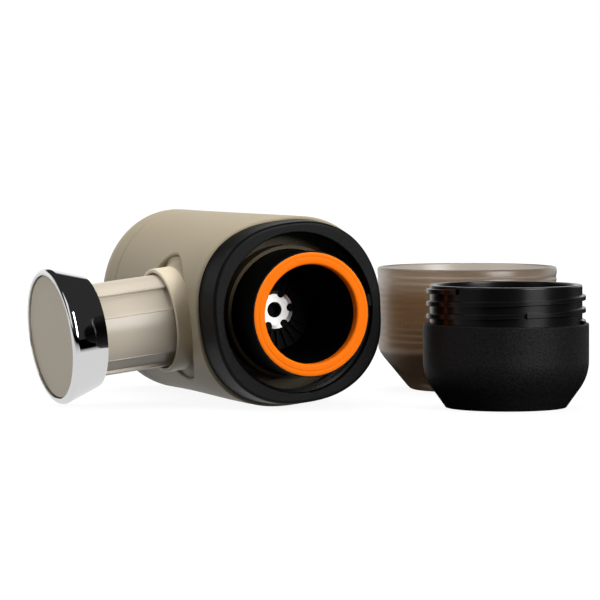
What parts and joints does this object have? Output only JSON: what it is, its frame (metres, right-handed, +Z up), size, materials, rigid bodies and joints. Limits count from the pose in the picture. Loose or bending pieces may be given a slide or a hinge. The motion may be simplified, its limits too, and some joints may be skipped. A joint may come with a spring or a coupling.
{
  "type": "handheld manual espresso maker",
  "caption": "Hand-pumped capsule espresso maker, taken apart for loading: a unit with a spring-returned pump piston and water tank, a screw-on outlet head, and a smoke-brown cup.",
  "frame": {"origin": "centre of the laid-out set's bounding box, on the surface that it stands on", "axes": "+Z up; +Y from the unit's mouth to its tank; +X from the piston knob across the unit to the cup"},
  "size_m": [0.185, 0.1695, 0.06],
  "materials": {
    "shell_champagne": "satin metallic champagne with a fine grain",
    "gloss_champagne": "glossy metallic champagne",
    "frame_beige": "plain moulded, champagne",
    "black_satin": "satin black",
    "black_textured": "fine matt texture",
    "black_gloss": "polished black",
    "orange_silicone": "satin silicone",
    "pale_silicone": "satin silicone",
    "black_rubber": "satin rubber",
    "steel": "stainless",
    "chrome_ring": "polished chrome plating",
    "smoke_plastic": "smoke-brown, see-through"
  },
  "bodies": {
    "unit": {"body_shell": "shell_champagne", "rear_bulkhead": "frame_beige", "tank_oring": "black_rubber", "vent_valve": "pale_silicone", "suction_tube": "pale_silicone", "mouth_collar": "black_satin", "inner_frame": "frame_beige", "capsule_chamber": "black_gloss", "capsule_gasket": "orange_silicone", "chamber_seat": "black_satin", "piercing_plate": "steel", "chamber_seal": "pale_silicone", "chassis_screws": "steel", "collar_screws": "steel", "piston_guide": "gloss_champagne", "pump_block": "frame_beige", "pump_liner": "steel", "inlet_seat": "black_satin", "outlet_cage": "black_satin", "return_spring": "steel", "outlet_spring": "steel"},
    "piston": {"piston_rod": "gloss_champagne", "knob_ring": "chrome_ring", "knob_disc": "shell_champagne", "plunger_stem": "black_satin", "plunger_seal": "black_rubber", "plunger_screw": "steel"},
    "tank": {"water_tank": "shell_champagne"},
    "outlet_head": {"head_shell": "black_textured", "head_neck": "black_gloss", "outlet_screen": "steel", "screen_seal": "black_rubber", "outlet_spout": "black_gloss"},
    "cup": {"drinking_cup": "smoke_plastic"},
    "inlet_ball": {"inlet_ball": "steel"},
    "outlet_ball": {"outlet_ball": "steel"}
  },
  "joints": [
    {"name": "piston_press", "type": "slide", "parent": "unit", "child": "piston", "axis": [0.9932, 0, 0.1167], "range_m": [0, 0.0288], "stiffness_N_per_m": 250, "springref_m": -0.012, "deforming": ["return_spring"]},
    {"name": "tank_pull", "type": "slide", "parent": "unit", "child": "tank", "axis": [0, 1, 0], "range_m": [0, 0.025]},
    {"name": "outlet_head_lift", "type": "slide", "parent": "unit", "child": "outlet_head", "axis": [0, 0, 1], "range_m": [0, 0.06]},
    {"name": "cup_lift", "type": "slide", "parent": "unit", "child": "cup", "axis": [0, 0, 1], "range_m": [0, 0.06]},
    {"name": "outlet_valve_open", "type": "slide", "parent": "unit", "child": "outlet_ball", "axis": [0, -1, 0], "range_m": [0, 0.0009], "stiffness_N_per_m": 300, "springref_m": -0.001, "deforming": ["outlet_spring"]},
    {"name": "inlet_valve_open", "type": "slide", "parent": "unit", "child": "inlet_ball", "axis": [0, -1, 0], "range_m": [0, 0.0007]}
  ]
}
